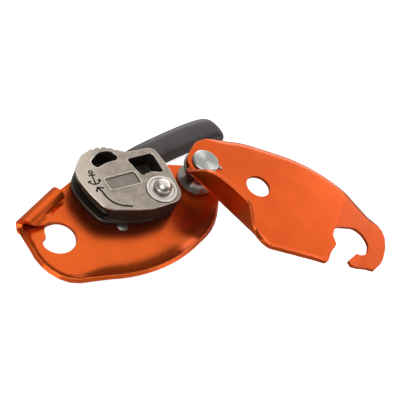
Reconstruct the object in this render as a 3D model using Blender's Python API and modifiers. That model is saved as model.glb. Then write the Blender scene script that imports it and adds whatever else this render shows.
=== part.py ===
"""Anti-panic descender for 11.5 mm rope, lying on the back of its hub with the front plate swung open.

Frame: the origin is on the axle of the cam, on the flat rear face of the hub cover. +X runs
from the attachment eye to the bollard, +Z is the plates' normal, towards the rope side.
All lengths are in millimetres and turn into metres as each mesh is made.
"""
import math

import bpy
import bmesh
from mathutils import Matrix, Vector

MM = 0.001
GAP = 0.3                       # between pieces that touch
ROPE = 11.5                     # diameter of the rope

PLATE = 4.0                     # thickness of both side plates
BACK = 26.0                     # rear face of the back plate
CAM_THICK = 23.0
CAM_LOW = BACK + PLATE + 0.5    # rear face of the cam
CAM_TOP = CAM_LOW + CAM_THICK
FRONT = CAM_TOP + 1.0           # inner face of the front plate
FRONT_TOP = FRONT + PLATE

PIVOT = (54.3, 5.9)             # bollard, bolt and hinge of the front plate
EYE = (-97.3, 6.3)              # attachment eye
EYE_R = 15.2
OPEN_ANGLE = 121.0              # the front plate's turn from shut to the pose shown

AXLE_R = 8.0
DOME_R = 8.5
DOME_TOP = CAM_TOP + 8.5
HOLE_R = 11.8                   # hole of the front plate, over the axle's head
BOLLARD_R = 18.5
BOLLARD_NECK = 12.5
BOLT_R = 5.0
HEAD_R = 13.0
HEAD_TOP = FRONT_TOP + GAP + 2.8
END_R = 17.3                    # outer radius of the front plate about its hinge
DOWEL_R = 1.8                   # pin that keeps the bolt's head from turning

RIM_TURN = math.radians(43)     # how far the back plate's rim turns up
RIM_SIDE = 10.0                 # the rim's developed width beside the eye and the bollard
RIM_WIDE = 26.0                 # and along the foot of the plate, which is dished
ROLL_R = 15.0                   # the same for the front plate's rolled edge
ROLL_RUN = 12.5
TAB_U = Vector((0.93, 0.368))   # direction of the tab's fold
TAB_V = Vector((-0.368, 0.93))
TAB_BASE = 68.2                 # start of its bend, measured along TAB_V
TAB_R = 5.0                     # radius of the roll, at the middle of the sheet
FLANGE_A = Vector((62.4, 26.4))
FLANGE_B = Vector((-20.8, 57.7))
FLANGE_R = 6.0
HOOK_DROP = 8.0                 # joggle of the front plate's hook, towards the back plate

HUB_R = 24.0
CAVITY_R = 19.0
COVER = 2.6                     # thickness of the hub cover
HUB_TOP = 24.6
GRIP_HALF = (14.6, 10.0)        # half width and half height of the grip
GRIP_Z = 11.0


def clear_scene():
    for item in list(bpy.data.objects):
        bpy.data.objects.remove(item, do_unlink=True)


clear_scene()
device = bpy.data.collections.new("anti_panic_descender")
cutters = bpy.data.collections.new("cutters")
for group in (device, cutters):
    bpy.context.scene.collection.children.link(group)


def paint(name, colour, rough, metal):
    mat = bpy.data.materials.new(name)
    mat.use_nodes = True
    shader = mat.node_tree.nodes["Principled BSDF"]
    shader.inputs["Base Color"].default_value = (*colour, 1.0)
    shader.inputs["Roughness"].default_value = rough
    shader.inputs["Metallic"].default_value = metal
    return mat


ORANGE = ((0.80, 0.13, 0.025), 0.32, 0.55)
CAST = ((0.33, 0.28, 0.23), 0.45, 0.7)
STEEL = ((0.62, 0.60, 0.56), 0.25, 1.0)
DARK = ((0.09, 0.075, 0.07), 0.4, 0.6)
PLASTIC = ((0.05, 0.04, 0.04), 0.5, 0.0)
BRASS = ((0.55, 0.40, 0.18), 0.35, 1.0)


def keep(name, mesh, look, axis=(0.0, 0.0)):
    """Store a finished mesh as a named piece with its own material and its origin on its axis."""
    mesh.name = name
    obj = bpy.data.objects.new(name, mesh)
    obj.location = (axis[0] * MM, axis[1] * MM, 0.0)
    mesh.transform(Matrix.Translation(-obj.location))
    device.objects.link(obj)
    mesh.materials.clear()
    mesh.materials.append(paint(name, *look))
    mesh.shade_smooth()
    mesh.set_sharp_from_angle(angle=math.radians(32))
    return obj


def as_mesh(obj):
    """The evaluated mesh of an object, welded and facing out; the object is removed."""
    shape = bpy.data.meshes.new_from_object(obj.evaluated_get(bpy.context.evaluated_depsgraph_get()))
    bpy.data.objects.remove(obj, do_unlink=True)
    bm = bmesh.new()
    bm.from_mesh(shape)
    bmesh.ops.remove_doubles(bm, verts=bm.verts, dist=2e-6)
    bmesh.ops.recalc_face_normals(bm, faces=bm.faces)
    if bm.calc_volume(signed=True) < 0:
        bmesh.ops.reverse_faces(bm, faces=bm.faces)
    bm.to_mesh(shape)
    bm.free()
    return shape


def staged(mesh):
    obj = bpy.data.objects.new("stage", mesh)
    cutters.objects.link(obj)
    return obj


def rounded(corners, fine=11.0):
    """Points of a closed outline from (x, y, radius) corners; a radius of 0 stays sharp."""
    points = []
    count = len(corners)
    for index, (x, y, radius) in enumerate(corners):
        here = Vector((x, y))
        before = (Vector(corners[index - 1][:2]) - here).normalized()
        after = (Vector(corners[(index + 1) % count][:2]) - here).normalized()
        between = before.angle(after, math.pi)
        if radius <= 0 or between > math.pi - 0.01:
            points.append(here)
            continue
        reach = radius / math.tan(between / 2)
        start, end = here + before * reach, here + after * reach
        middle = here + (before + after).normalized() * (radius / math.sin(between / 2))
        turn = math.pi - between
        steps = max(2, round(math.degrees(turn) / fine), round(turn * radius / 9.0))
        first = start - middle
        side = 1.0 if before.cross(after) < 0 else -1.0
        for step in range(steps + 1):
            angle = side * turn * step / steps
            points.append(middle + Matrix.Rotation(angle, 2) @ first)
    return points


def slab(points, low, high):
    """A closed prism over an outline."""
    flat = bpy.data.curves.new("outline", "CURVE")
    flat.dimensions = "2D"
    flat.fill_mode = "BOTH"
    flat.extrude = (high - low) / 2 * MM
    line = flat.splines.new("POLY")
    line.points.add(len(points) - 1)
    for slot, point in zip(line.points, points):
        slot.co = (point[0] * MM, point[1] * MM, 0.0, 1.0)
    line.use_cyclic_u = True
    obj = bpy.data.objects.new("outline", flat)
    obj.location.z = (high + low) / 2 * MM
    cutters.objects.link(obj)
    bpy.context.view_layer.update()
    place = obj.matrix_world.copy()
    mesh = as_mesh(obj)
    mesh.transform(place)
    bpy.data.curves.remove(flat)
    return mesh


def turned(profile, centre=(0.0, 0.0), steps=36):
    """A turned solid from (radius, height) points, top to bottom down the outer side."""
    closed = profile[0][0] > 0
    mesh = bpy.data.meshes.new("profile")
    edges = [(i, i + 1) for i in range(len(profile) - 1)]
    if closed:
        edges.append((len(profile) - 1, 0))
    mesh.from_pydata([(r * MM, 0.0, z * MM) for r, z in profile], edges, [])
    obj = staged(mesh)
    screw = obj.modifiers.new("turn", "SCREW")
    screw.steps = screw.render_steps = steps
    screw.use_merge_vertices = True
    screw.merge_threshold = 1e-6
    shape = as_mesh(obj)
    shape.transform(Matrix.Translation((centre[0] * MM, centre[1] * MM, 0.0)))
    return shape


def ring(inner, outer, low, high, centre=(0.0, 0.0), steps=36, chamfer=0.0):
    c = chamfer
    if c:
        profile = [(outer - c, high), (outer, high - c), (outer, low + c), (outer - c, low),
                   (inner, low), (inner, high)]
    else:
        profile = [(outer, high), (outer, low), (inner, low), (inner, high)]
    return turned(profile, centre, steps)


def rod(radius, low, high, centre=(0.0, 0.0), steps=32, chamfer=0.0):
    if chamfer:
        profile = [(0, high), (radius - chamfer, high), (radius, high - chamfer),
                   (radius, low + chamfer), (radius - chamfer, low), (0, low)]
    else:
        profile = [(0, high), (radius, high), (radius, low), (0, low)]
    return turned(profile, centre, steps)


def volume(mesh):
    bm = bmesh.new()
    bm.from_mesh(mesh)
    amount = bm.calc_volume(signed=True)
    bm.free()
    return amount


def combined(base, others, operation, solver="EXACT"):
    before = volume(base)
    obj = staged(base.copy())
    tools = []
    for number, other in enumerate(others):
        tool = bpy.data.objects.new(f"tool_{number}", other.copy())
        tool.hide_render = True
        tool.display_type = "WIRE"
        cutters.objects.link(tool)
        tools.append(tool)
        change = obj.modifiers.new(tool.name, "BOOLEAN")
        change.operation = operation
        change.solver = solver
        change.object = tool
    result = as_mesh(obj)
    for tool in tools:
        bpy.data.objects.remove(tool, do_unlink=True)
    if operation == "DIFFERENCE" and solver == "EXACT" and not 0.3 * before < volume(result) < before:
        return combined(base, others, operation, "MANIFOLD")
    return result


def cut(base, *others):
    return combined(base, others, "DIFFERENCE")


def joined(base, *others):
    return combined(base, others, "UNION")


def coil(radius, wire, low, high, turns, centre=(0.0, 0.0), lean=0.0):
    """A coil spring as a bevelled line, with its ends closed."""
    path = bpy.data.curves.new("coil", "CURVE")
    path.dimensions = "3D"
    path.bevel_depth = wire / 2 * MM
    path.bevel_resolution = 1
    path.use_fill_caps = True
    line = path.splines.new("POLY")
    count = int(turns * 14)
    line.points.add(count)
    for step, slot in enumerate(line.points):
        share = step / count
        angle = lean + turns * share * 2 * math.pi
        slot.co = ((centre[0] + radius * math.cos(angle)) * MM, (centre[1] + radius * math.sin(angle)) * MM,
                   (low + wire / 2 + (high - low - wire) * share) * MM, 1.0)
    obj = bpy.data.objects.new("coil", path)
    cutters.objects.link(obj)
    bpy.context.view_layer.update()
    mesh = as_mesh(obj)
    bpy.data.curves.remove(path)
    return mesh


def section(length, stretches):
    """Reach and rise after a walk of this length along (run, bend radius) stretches."""
    reach = rise = angle = 0.0
    for run, radius in stretches:
        step = min(length, run)
        if radius:
            turn = step / radius
            reach += radius * (math.sin(angle + turn) - math.sin(angle))
            rise += radius * (math.cos(angle) - math.cos(angle + turn))
            angle += turn
        else:
            reach += step * math.cos(angle)
            rise += step * math.sin(angle)
        length -= step
        if length <= 0:
            break
    return reach, rise


def pressed(edge, middle, thickness):
    """Sheet metal: a flat face inside, and bent strips along its edge.

    Each edge entry is (base point, outward direction, rows, strip name). Rows are (reach, rise)
    beyond the base, with an optional slide along it, and neighbours with the same strip name are
    joined by faces, as far as both have rows.
    """
    bm = bmesh.new()
    bases = [bm.verts.new((p.x * MM, p.y * MM, middle * MM)) for p, _, _, _ in edge]
    columns = []
    for base, (point, out, rows, _) in zip(bases, edge):
        columns.append([base])
        for reach, rise, *slide in rows:
            spot = point + out * reach + Vector((out.y, -out.x)) * (slide[0] if slide else 0.0)
            columns[-1].append(bm.verts.new((spot.x * MM, spot.y * MM, (middle + rise) * MM)))
    bm.faces.new(bases)
    for index in range(len(edge)):
        after = (index + 1) % len(edge)
        if edge[index][3] is None or edge[index][3] != edge[after][3]:
            continue
        one, two = columns[index], columns[after]
        for row in range(min(len(one), len(two)) - 1):
            bm.faces.new((one[row], two[row], two[row + 1], one[row + 1]))
    bmesh.ops.remove_doubles(bm, verts=bm.verts, dist=1e-6)
    bmesh.ops.recalc_face_normals(bm, faces=bm.faces)
    mesh = bpy.data.meshes.new("sheet")
    bm.to_mesh(mesh)
    bm.free()
    obj = staged(mesh)
    thick = obj.modifiers.new("thick", "SOLIDIFY")
    thick.thickness = thickness * MM
    thick.offset = 0.0
    thick.use_even_offset = True
    thick.use_quality_normals = True
    return as_mesh(obj)


def outward(points):
    """Unit normals of a closed outline, away from its inside."""
    area = sum(a.x * b.y - b.x * a.y for a, b in zip(points, points[1:] + points[:1]))
    side = 1.0 if area > 0 else -1.0
    normals = []
    for index, point in enumerate(points):
        along = (points[(index + 1) % len(points)] - points[index - 1]).normalized()
        normals.append(Vector((along.y, -along.x)) * side)
    return normals


def ramp(value, low, high):
    share = min(1.0, max(0.0, (value - low) / (high - low)))
    return share * share * (3 - 2 * share)


def rimmed(points, run_at, radius_at, up, strip, inset=0.0, rows=4):
    """Edge entries for an outline whose edge bends by a developed width run_at(point)."""
    runs = [run_at(point) for point in points]
    count = len(points)
    for index in range(count):
        beside = max(runs[index - 1], runs[(index + 1) % count])
        if runs[index] < 0.4 < beside:
            runs[index] = 0.4
    entries = []
    for point, out, run in zip(points, outward(points), runs):
        if run < 0.4:
            entries.append((point, out, [], None))
            continue
        bend = [(run, radius_at(run))]
        reach = section(run, bend)[0] + inset * run
        steps = [section(run * k / rows, bend) for k in range(1, rows + 1)]
        entries.append((point - out * reach, out, [(a, b * up) for a, b in steps], strip))
    return entries


def at_tab(u, v):
    return TAB_U * u + TAB_V * v


# Back plate: dished towards its foot, with a tab rolled over at the upper left
def back_rim(point):
    if point.y > 12.5:
        return 0.0
    wide = RIM_SIDE + (RIM_WIDE - RIM_SIDE) * ramp(point.x, -116, -88) * (1 - ramp(point.x, 6, 44))
    return wide * ramp(76 - point.x, 4, 30)


# Columns across the tab: place along its fold, lean past upright on the way down, developed length
TAB_COLUMNS = [
    (-101.8, 50, 8.8), (-101.3, 50, 11.0), (-100.8, 50, 14.0), (-99.4, 50, 17.0), (-97.8, 50, 20.0),
    (-95.7, 50, 23.0), (-93.0, 50, 25.6), (-90.0, 50, 27.6), (-86.5, 50, 29.3), (-82.5, 50, 30.8),
    (-79.5, 56, 29.0), (-76.5, 64, 26.8), (-73.4, 75, 24.4), (-70.0, 75, 24.3), (-65.0, 75, 24.9),
    (-60.5, 75, 25.6), (-57.5, 75, 25.8), (-56.0, 75, 25.4), (-55.0, 75, 24.4)]
RIM_ROWS = 4
FLAP_ROWS = 10
CORNER = [(-114.4, 13.4, 172, 10.0, 12.5), (-115.3, 18.0, 160, 9.6, 10.5), (-116.6, 21.6, 144, 9.2, 8.0),
          (-118.2, 24.4, 128, 9.0, 6.2)]     # x, y, direction, developed width, bend radius


def tab_columns():
    """The tab from its left end to its right: it rolls over and comes down onto the plate."""
    columns = []
    for u, lean, length in TAB_COLUMNS:
        tilt = math.radians(lean)
        drop = TAB_R * (1 + math.cos(tilt)) - PLATE - 0.4
        back = drop / (1 - math.cos(tilt))
        bend = [(TAB_R * (math.pi + tilt), TAB_R), (back * tilt, -back), (30.0, 0.0)]
        first = 8.0
        stops = [first * k / RIM_ROWS for k in range(1, RIM_ROWS + 1)]
        stops += [first + (length - first) * k / FLAP_ROWS for k in range(1, FLAP_ROWS + 1)]
        columns.append((at_tab(u, TAB_BASE), TAB_V, [section(stop, bend) for stop in stops], "rim"))
    return columns


def corner_columns():
    """The rim winding up into the tab's roll."""
    columns = []
    for x, y, angle, run, radius in CORNER:
        turn = math.radians(angle)
        rows = [section(run * k / RIM_ROWS, [(run, radius)]) for k in range(1, RIM_ROWS + 1)]
        columns.append((Vector((x, y)), Vector((math.cos(turn), math.sin(turn))), rows, "rim"))
    return columns


EYE_LUG = [(-14.6, 0.9), (-12.5, 2.9), (-9.4, 4.3), (-8.3, 8.0), (-7.0, 11.4)]


def eye_hole():
    """Outline of the attachment eye: a circle with a small lug at its upper left."""
    points = []
    for step in range(31):
        angle = math.radians(106 - 289 * step / 30)
        points.append((EYE[0] + EYE_R * math.cos(angle), EYE[1] + EYE_R * math.sin(angle)))
    return points[:-1] + [(EYE[0] + x, EYE[1] + y) for x, y in EYE_LUG]


TAB_LEFT = at_tab(TAB_COLUMNS[0][0], TAB_BASE)


def back_plate():
    outline = rounded([
        (72.3, 17.4, 18), (72.3, -13.4, 14), (38.3, -47.6, 95), (-37.65, -70.4, 137),
        (-130.4, -29.4, 46), (-123.9, 10.5, 0), (*TAB_LEFT, 0), (-75.3, 43.8, 0), (-75.6, 45.4, 0),
        (-72.8, 47.4, 0), (-38.0, 58.0, 60), (-20.0, 58.4, 30), (10.0, 46.0, 60), (38.0, 33.5, 60)])
    entries = rimmed(outline, back_rim, lambda run: max(12.0, run / RIM_TURN), 1.0, "rim", 0.09, RIM_ROWS)
    edge = []
    for point, entry in zip(outline, entries):
        if (point - TAB_LEFT).length < 0.1:
            edge += corner_columns() + tab_columns()
        else:
            edge.append(entry)
    mesh = pressed(edge, BACK + PLATE / 2, PLATE)
    return cut(mesh, slab(eye_hole(), 20, 60), rod(12.0, 20, 60, steps=36),
               rod(BOLT_R + 0.4, 20, 60, PIVOT, 32))


# Front plate, drawn shut over the back plate
def front_roll(point):
    if point.y > -3 or (point.x < 0 and point.y > -19):
        return 0.0
    right = ramp(80 - point.x, 12, 36)
    left = ramp(point.x, -139, -112)
    return ROLL_RUN * right * left * ramp(-point.y, 6, 20)


FLANGE_RUN = [(-4.5, 3.6), (-2.0, 6.5), (1.0, 9.5), (4.0, 13.4), (7.4, 17.2), (10.5, 20.8), (13.7, 23.7),
              (20.0, 27.6), (28.2, 30.1), (39.5, 31.7), (50.0, 32.1), (57.0, 32.0), (60.5, 31.4),
              (63.1, 30.0), (65.6, 27.2), (68.6, 23.4), (72.0, 18.8), (76.0, 13.9), (80.0, 10.2),
              (84.5, 7.6), (89.0, 6.2), (93.0, 5.4)]
FLANGE_BEND = [(FLANGE_R * math.pi / 2, FLANGE_R), (60.0, 0.0)]


ROW_SHARES = (0.07, 0.14, 0.21, 0.29, 0.5, 0.75, 1.0)
LIP_RUN = 5.0                   # slight lip along the edge beyond the flange


def lip_rows(run):
    return [section(run * f, [(60.0, 16.0)]) for f in ROW_SHARES]


def flange_columns():
    along = (FLANGE_B - FLANGE_A).normalized()
    out = Vector((along.y, -along.x))
    entries = []
    for s, run in FLANGE_RUN:
        base = FLANGE_A + along * s - out * FLANGE_R
        wide = FLANGE_R + 8.0 * ramp(s, 82, 95)
        bend = FLANGE_BEND if s < 82 else [(60.0, wide)]
        rows = [section(run * f, bend) for f in ROW_SHARES]
        entries.append((base, out, rows, "flange"))
    corner = Vector((-29.6, 54.2))
    for angle in (80, 92, 107):
        turn = math.radians(angle)
        entries.append((corner, Vector((math.cos(turn), math.sin(turn))), lip_rows(LIP_RUN), "flange"))
        corner = corner + Vector((-1.0, -0.2))
    edge = Vector((-0.956, -0.294))
    for s, run in ((12.0, LIP_RUN), (26.0, LIP_RUN), (40.0, LIP_RUN), (46.0, LIP_RUN * 0.7), (51.0, 1.0)):
        shift = Vector((edge.y, -edge.x)) * (LIP_RUN - run)
        entries.append((corner + edge * s + shift, Vector((edge.y, -edge.x)), lip_rows(run), "flange"))
    return entries


def hook_drop(x):
    """How far the hook end is set down towards the back plate."""
    start, end, ease = -83.0, -118.0, 4.0
    slope = HOOK_DROP / (start - end)

    def soft(v):
        if v < -ease:
            return 0.0
        return (v + ease) ** 2 / (4 * ease) if v < ease else v
    return slope * (soft(start - x) - soft(end - x))


DOWEL_SIDE = Vector((-0.986, -0.168))        # from the hinge to the dowel, with the plate shut
DOWEL_AT = Vector(PIVOT) + DOWEL_SIDE * (HEAD_R + DOWEL_R + GAP / 2)


def front_plate():
    outline = rounded([
        (71.5, 0.6, 0), (71.8, -14.5, 20), (38.0, -43.6, 80), (-43.0, -65.4, 130), (-138.5, -38.5, 34),
        (-138.6, 3.0, 26), (-132.2, 17.0, 2), (-124.2, 19.4, 6), (-115.5, 24.2, 4), (-109.2, 27.3, 3),
        (-104.6, 24.6, 2), (-111.0, 10.6, 2), (-122.5, 6.0, 13), (-121.4, -17.0, 14), (-101.0, -16.0, 14),
        (-82.0, -1.5, 10), (-82.2, 9.5, 5), (-88.4, 17.2, 0), (-85.2, 30.0, 0), (-85.0, 42.4, 4), (-79.6, 44.0, 0)])
    flat = rimmed(outline, front_roll, lambda run: ROLL_R, -1.0, "roll")
    side = [entry for entry in reversed(flange_columns())]
    end = []
    for angle in (44, 32, 20, 8, -6):
        turn = math.radians(angle)
        end.append((Vector((PIVOT[0] + END_R * math.cos(turn), PIVOT[1] + END_R * math.sin(turn))),
                    Vector((1, 0)), [], None))
    mesh = pressed(flat + side + end, FRONT + PLATE / 2, PLATE)
    bm = bmesh.new()
    bm.from_mesh(mesh)
    for x in (-79.0, -81.5, -84.5, -87.0, -114.0, -116.5, -119.5, -122.0):
        bmesh.ops.bisect_plane(bm, geom=bm.verts[:] + bm.edges[:] + bm.faces[:], dist=1e-7,
                               plane_co=(x * MM, 0, 0), plane_no=(1, 0, 0))
    for vert in bm.verts:
        vert.co.z -= hook_drop(vert.co.x / MM) * MM
    bmesh.ops.triangulate(bm, faces=[f for f in bm.faces if len(f.verts) > 4])
    bm.to_mesh(mesh)
    bm.free()
    return cut(mesh, rod(HOLE_R, 40, 70, steps=40), rod(BOLT_R + 0.4, 40, 70, PIVOT, 32),
               rod(DOWEL_R + 0.2, FRONT + 1.0, 70, DOWEL_AT, 20))


def swung(mesh, angle=OPEN_ANGLE):
    """Turn a mesh about the front plate's hinge."""
    spot = Matrix.Translation((PIVOT[0] * MM, PIVOT[1] * MM, 0.0))
    mesh.transform(spot @ Matrix.Rotation(math.radians(angle), 4, "Z") @ spot.inverted())
    return mesh


# Cam
CAM_OUTLINE = [
    (-64.4, 45.6, 22), (-46.4, 62.2, 22), (-25.5, 62.0, 18), (-5.5, 47.2, 10), (20.6, 43.4, 8),
    (21.4, 16.0, 60), (13.5, -17.5, 12), (-22.0, -14.6, 60), (-58.6, 2.0, 14), (-62.8, 22.0, 60)]
GROOVE_FLOOR = [
    (-30, 72, 0), (-42, 53.5, 10), (-55.5, 41, 14), (-54.5, 22, 50), (-50.5, 6.8, 12), (-10, -13.8, 30),
    (-8, -30, 0), (45, -30, 0), (45, 72, 0)]
KIDNEY = [(-41.8, 42.0, 3), (-44.0, 50.5, 4), (-31.5, 56.8, 8), (-20.6, 54.6, 5), (-15.6, 44.6, 4),
          (-21.5, 43.2, 5), (-31.0, 44.8, 8)]
RHOMB = [(-10.9, 40.6, 2.2), (15.6, 37.4, 3.2), (13.4, 14.6, 2.0), (2.6, 20.6, 9), (-8.2, 19.6, 2.0)]
REAR_POCKET = [(-46.5, 36.5, 5), (-16.0, 34.0, 5), (-17.0, 12.0, 4), (-25.0, -4.0, 5), (-43.0, 5.0, 5)]
PAD = [(-44.0, 30.4, 2.6), (-12.4, 26.6, 2.8), (-13.2, 12.4, 3.0), (-44.0, 16.6, 3.0)]


def cam():
    body = slab(rounded(CAM_OUTLINE), CAM_LOW, CAM_TOP)
    mid = (CAM_LOW + CAM_TOP) / 2
    groove = cut(slab([(-90, -45), (45, -45), (45, 90), (-90, 90)], mid - 7, mid + 7),
                 slab(rounded(GROOVE_FLOOR), 20, 70))
    teeth = [rod(1.7, 20, 70, (x, y), 12) for x, y in
             ((-33.2, 62.4), (-26.6, 61.2), (-20.2, 58.4), (-14.4, 54.6))]
    return cut(body, groove, slab(rounded(REAR_POCKET), 20, CAM_TOP - 6),
               slab(rounded(KIDNEY), CAM_TOP - 17, 70),
               slab(rounded(RHOMB), CAM_TOP - 17, 70), slab(rounded(PAD), CAM_TOP - 0.8, 70),
               rod(15.0, CAM_TOP - 4, 70, steps=40),
               rod(AXLE_R + GAP, 20, 70, steps=36), ring(10.5, 14.6, 20, CAM_LOW + 7, steps=40), *teeth)


def cam_axle():
    low = 5.5
    profile = [(0, DOME_TOP)]
    for k in range(1, 7):
        angle = math.radians(k * 15)
        profile.append((DOME_R * math.sin(angle), DOME_TOP - 5.2 + 5.2 * math.cos(angle)))
    profile += [(DOME_R - 0.5, DOME_TOP - 6.0), (6.8, DOME_TOP - 6.5), (6.8, CAM_TOP + 1.0),
                (9.7, CAM_TOP + 0.7), (9.7, CAM_TOP + 0.3), (11.4, CAM_TOP + 0.1),
                (11.4, CAM_TOP - 3.7), (AXLE_R, CAM_TOP - 3.7), (AXLE_R, low + 2.2),
                (AXLE_R - 0.9, low + 2.2), (AXLE_R - 0.9, low + 1.0), (AXLE_R, low + 1.0),
                (AXLE_R, low + 0.5), (AXLE_R - 0.5, low), (0, low)]
    body = turned(profile, steps=36)
    flat = slab([(6.4, -12), (14, -12), (14, 12), (6.4, 12)], 0, 17.6)
    return cut(body, flat)


def bollard():
    low, high = BACK + PLATE + GAP, FRONT - 1.3
    profile = [(BOLLARD_R - 0.8, high), (BOLLARD_R, high - 0.8)]
    for k in range(0, 7):
        share = k / 6
        z = high - 2.6 - (high - low - 5.2) * share
        profile.append((BOLLARD_NECK + (BOLLARD_R - BOLLARD_NECK) * (2 * share - 1) ** 2, z))
    profile += [(BOLLARD_R, low + 0.8), (BOLLARD_R - 0.8, low), (BOLT_R + GAP, low), (BOLT_R + GAP, high)]
    return turned(profile, PIVOT, 36)


def hexagon(across, low, high, centre, hole=0.0):
    r = across / math.sqrt(3)
    body = slab([(centre[0] + r * math.cos(math.radians(60 * k + 12)),
                  centre[1] + r * math.sin(math.radians(60 * k + 12))) for k in range(6)], low, high)
    return cut(body, rod(hole, low - 5, high + 5, centre)) if hole else body


def pivot_bolt():
    low = 13.6
    top = HEAD_TOP
    under = FRONT_TOP + GAP
    profile = [(0, top - 0.5), (3.0, top - 0.4), (5.2, top), (HEAD_R - 1.6, top - 0.2), (HEAD_R - 0.5, top - 0.8),
               (HEAD_R, top - 1.7), (HEAD_R, under), (BOLT_R, under), (BOLT_R, low + 0.7), (BOLT_R - 0.7, low),
               (0, low)]
    return turned(profile, PIVOT, 40)


# Handle: a lever with the clutch hub on its end, and a moulded grip
LEVER_PATH = [(0, 0), (-1.5, 26), (1.0, 44), (10.0, 54.4), (24.0, 57.2), (39.3, 58.8), (61.3, 60.9),
              (91.2, 62.6), (112.0, 62.6), (124.0, 61.2), (133.6, 58.6)]


def path_point(t):
    """Catmull-Rom curve through the lever's centre points, t from 0 to the last index."""
    last = len(LEVER_PATH) - 1
    index = min(int(t), last - 1)
    f = t - index
    p = [Vector(LEVER_PATH[min(max(index + k, 0), last)]) for k in (-1, 0, 1, 2)]
    return 0.5 * (2 * p[1] + (p[2] - p[0]) * f + (2 * p[0] - 5 * p[1] + 4 * p[2] - p[3]) * f * f +
                  (3 * p[1] - 3 * p[2] + p[3] - p[0]) * f ** 3)


def path_side(t):
    along = path_point(min(t + 0.02, len(LEVER_PATH) - 1.0)) - path_point(max(t - 0.02, 0.0))
    along.normalize()
    return Vector((-along.y, along.x))


def grip():
    """Oval rings lofted along the lever, rounded at the hub end and blunt at the tip."""
    bm = bmesh.new()
    stations = [(2.62, 0.30), (2.66, 0.52), (2.76, 0.70), (2.95, 0.82), (3.3, 0.90), (3.8, 0.96), (4.4, 1.0),
                (5.2, 1.02), (6.0, 1.02), (7.0, 1.05), (8.0, 1.08), (8.7, 1.08), (9.2, 1.05),
                (9.62, 0.97), (9.88, 0.84), (9.98, 0.66)]
    count = 24
    rings = []
    for t, size in stations:
        centre, side = path_point(t), path_side(t)
        loop = []
        for k in range(count):
            angle = 2 * math.pi * k / count
            c, s = math.cos(angle), math.sin(angle)
            across = GRIP_HALF[0] * size * math.copysign(abs(c) ** 0.8, c)
            lift = GRIP_HALF[1] * min(1.0, size) * math.copysign(abs(s) ** 0.8, s)
            lean = 0.42 * across * ramp(t, 8.2, 9.9)
            spot = centre + side * across + Vector((side.y, -side.x)) * (-lean)
            loop.append(bm.verts.new((spot.x * MM, spot.y * MM, (GRIP_Z + lift) * MM)))
        rings.append(loop)
    for one, two in zip(rings, rings[1:]):
        for k in range(count):
            bm.faces.new((one[k], one[(k + 1) % count], two[(k + 1) % count], two[k]))
    bm.faces.new(rings[0])
    bm.faces.new(rings[-1])
    bmesh.ops.recalc_face_normals(bm, faces=bm.faces)
    mesh = bpy.data.meshes.new("grip")
    bm.to_mesh(mesh)
    bm.free()
    return mesh


def lever_outline(half, spare=0.0, first=0.82, last=7.6):
    times = [first + (last - first) * k / 16 for k in range(17)]
    left = [path_point(t) + path_side(t) * (half + spare) for t in times]
    right = [path_point(t) - path_side(t) * (half + spare) for t in times]
    side = path_side(last)
    tip = Vector((side.y, -side.x)) * spare
    return left[:-1] + [left[-1] + tip, right[-1] + tip] + right[-2::-1]


def handle_lever():
    hub = turned([(HUB_R - 1.2, HUB_TOP), (HUB_R, HUB_TOP - 1.2), (HUB_R, COVER + GAP),
                  (CAVITY_R, COVER + GAP), (CAVITY_R, 19.6), (AXLE_R + 0.6, 19.6), (AXLE_R + 0.6, HUB_TOP)],
                 steps=40)
    arm = slab(lever_outline(8.0), 7.0, 15.0)
    bosses = [rod(3.6, COVER + GAP, 21, spot, 20) for spot in screw_spots()]
    body = joined(hub, arm, *bosses)
    return cut(body, *[rod(1.6, 0, 12, spot, 16) for spot in screw_spots()],
               rod(1.8, 8, 22.0, PAWL_AT, 16), ring(12.0, 18.0, 21.6, 40, steps=40))


def screw_spots():
    return [(17.6 * math.cos(math.radians(a)), 17.6 * math.sin(math.radians(a))) for a in (-20, 160, 250)]


PAWL_AT = (15.3 * math.cos(math.radians(60)), 15.3 * math.sin(math.radians(60)))
DRIVE_R = 11.4


def drive_plate():
    """Toothed disc keyed on the axle by a flat."""
    teeth = 10
    points = []
    for k in range(teeth):
        for share, radius in ((0.0, DRIVE_R), (0.55, DRIVE_R), (0.85, DRIVE_R - 1.5), (0.98, DRIVE_R - 1.5)):
            angle = 2 * math.pi * (k + share) / teeth
            points.append((radius * math.cos(angle), radius * math.sin(angle)))
    body = slab(points, 9.0, 13.5)
    bore = cut(rod(AXLE_R + GAP, 5, 18, steps=40),
               slab([(6.4 + GAP, -12), (14, -12), (14, 12), (6.4 + GAP, 12)], 0, 30))
    return cut(body, bore)


def pawl():
    """Catch on a pin of the hub, its nose just clear of the drive plate's teeth."""
    x, y = PAWL_AT
    body = slab(rounded([(x + 3.0, y + 3.1, 2.9), (x - 9.0, y + 2.6, 1.5), (x - 11.4, y + 0.3, 0.6),
                         (x - 9.0, y - 1.4, 0.6), (x + 3.0, y - 3.1, 2.9)]), 9.2, 13.3)
    return cut(body, rod(1.8, 5, 18, PAWL_AT, 20))


def trip_ring():
    """Release ring on the back plate; its raised stretch lifts the catch when the handle goes too far."""
    body = ring(12.6, 16.6, 22.0, 25.7, steps=36)
    lobe = slab(rounded([(-12.0, 9.0, 1), (-15.4, 9.0, 1.5), (-17.2, 0.0, 4), (-15.4, -9.0, 1.5),
                         (-12.0, -9.0, 1)]), 22.4, 25.4)
    return cut(joined(body, lobe), rod(12.6, 10, 40, steps=36))


PIECES = []


def piece(name, mesh, look, axis=(0.0, 0.0)):
    PIECES.append(keep(name, mesh, look, axis))


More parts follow.
